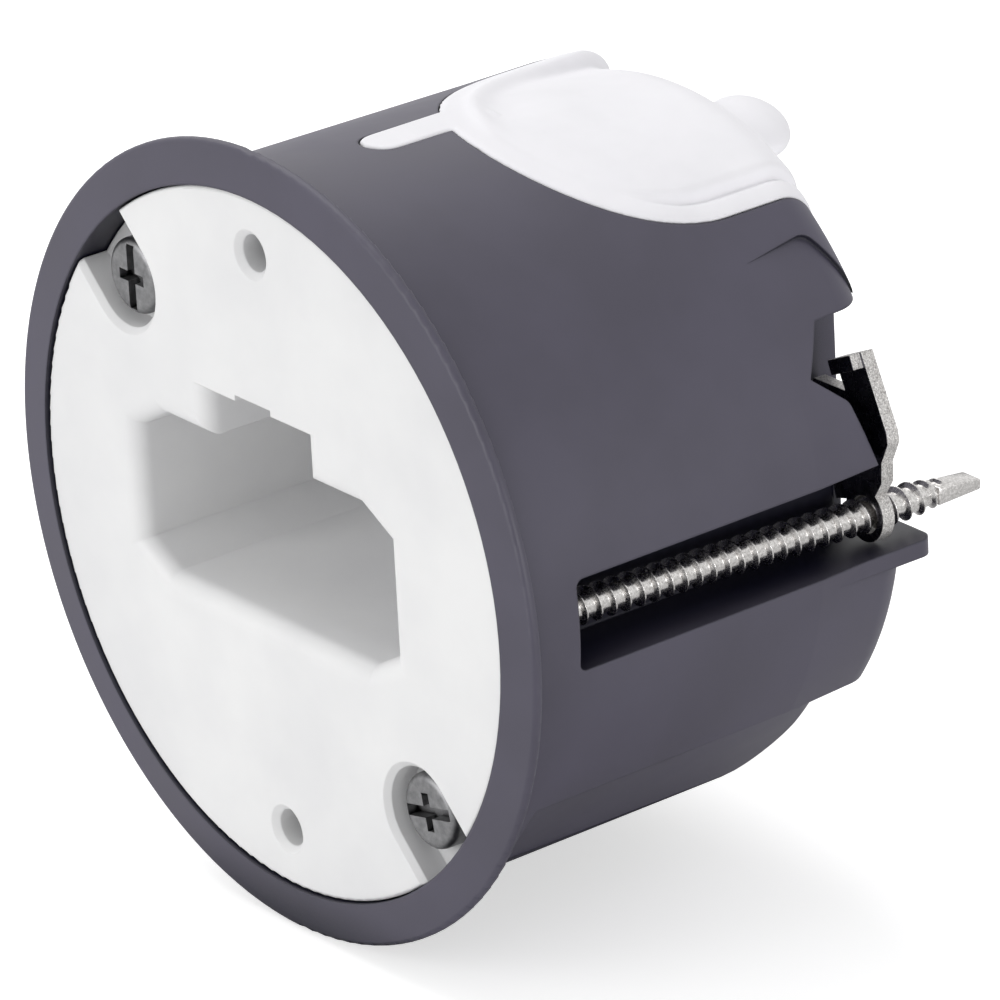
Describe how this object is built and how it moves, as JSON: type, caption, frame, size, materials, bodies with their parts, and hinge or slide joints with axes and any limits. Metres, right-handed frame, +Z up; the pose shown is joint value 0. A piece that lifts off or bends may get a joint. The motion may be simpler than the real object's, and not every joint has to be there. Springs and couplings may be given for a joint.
{
  "type": "light connection box",
  "caption": "Round hollow-wall box with a keyed luminaire outlet in its cover, a soft cable membrane and two swing-out clamping claws.",
  "frame": {"origin": "centre of the rear face of the flange, in the plane of the wall's face", "axes": "+Y along the box axis into the wall, +Z up, +X to the right seen from the room"},
  "size_m": [0.075, 0.0571, 0.075],
  "materials": {
    "grey_shell": "satin moulded",
    "white_elastomer": "soft matt",
    "white_cover": "semi-matt moulded",
    "white_block": "moulded",
    "cover_screw_steel": "dark passivated",
    "claw_screw_zinc": "bright zinc",
    "seal_elastomer": "matt",
    "claw_steel": "zinc plated, sheared edges",
    "contact_brass": "rolled",
    "spring_steel": "rolled"
  },
  "bodies": {
    "box": {"box_body": "grey_shell", "cable_membrane": "white_elastomer", "front_cover": "white_cover", "contact_carrier": "white_block", "terminal_cap": "white_block", "screw_seal_right": "seal_elastomer", "screw_seal_left": "seal_elastomer", "contact_line": "contact_brass", "contact_earth": "contact_brass", "contact_neutral": "contact_brass", "clamp_spring_line": "spring_steel", "clamp_spring_earth": "spring_steel", "clamp_spring_neutral": "spring_steel"},
    "cover_screw_upper": {"cover_screw_upper": "cover_screw_steel"},
    "cover_screw_lower": {"cover_screw_lower": "cover_screw_steel"},
    "claw_screw_right": {"claw_screw_right": "claw_screw_zinc"},
    "claw_screw_left": {"claw_screw_left": "claw_screw_zinc"},
    "clamp_claw_right": {"clamp_claw_right": "claw_steel"},
    "clamp_claw_left": {"clamp_claw_left": "claw_steel"}
  },
  "joints": [
    {"name": "claw_screw_right_turn", "type": "hinge", "parent": "box", "child": "claw_screw_right", "pos_m": [0.03, 0, 0.00045], "axis": [0, 0.9992, -0.0401], "continuous": true},
    {"name": "clamp_claw_right_swing", "type": "hinge", "parent": "box", "child": "clamp_claw_right", "pos_m": [0.03, 0, 0.00045], "axis": [0, 0.9992, -0.0401], "range_deg": [0, 90]},
    {"name": "claw_screw_left_turn", "type": "hinge", "parent": "box", "child": "claw_screw_left", "pos_m": [-0.03, 0, -0.00045], "axis": [0, 0.9992, 0.0401], "continuous": true},
    {"name": "clamp_claw_left_swing", "type": "hinge", "parent": "box", "child": "clamp_claw_left", "pos_m": [-0.03, 0, -0.00045], "axis": [0, 0.9992, 0.0401], "range_deg": [0, 90]},
    {"name": "cover_screw_upper_turn", "type": "hinge", "parent": "box", "child": "cover_screw_upper", "pos_m": [-0.01987, 0, 0.01987], "axis": [0, 1, 0], "continuous": true},
    {"name": "cover_screw_lower_turn", "type": "hinge", "parent": "box", "child": "cover_screw_lower", "pos_m": [0.01987, 0, -0.01987], "axis": [0, 1, 0], "continuous": true}
  ]
}
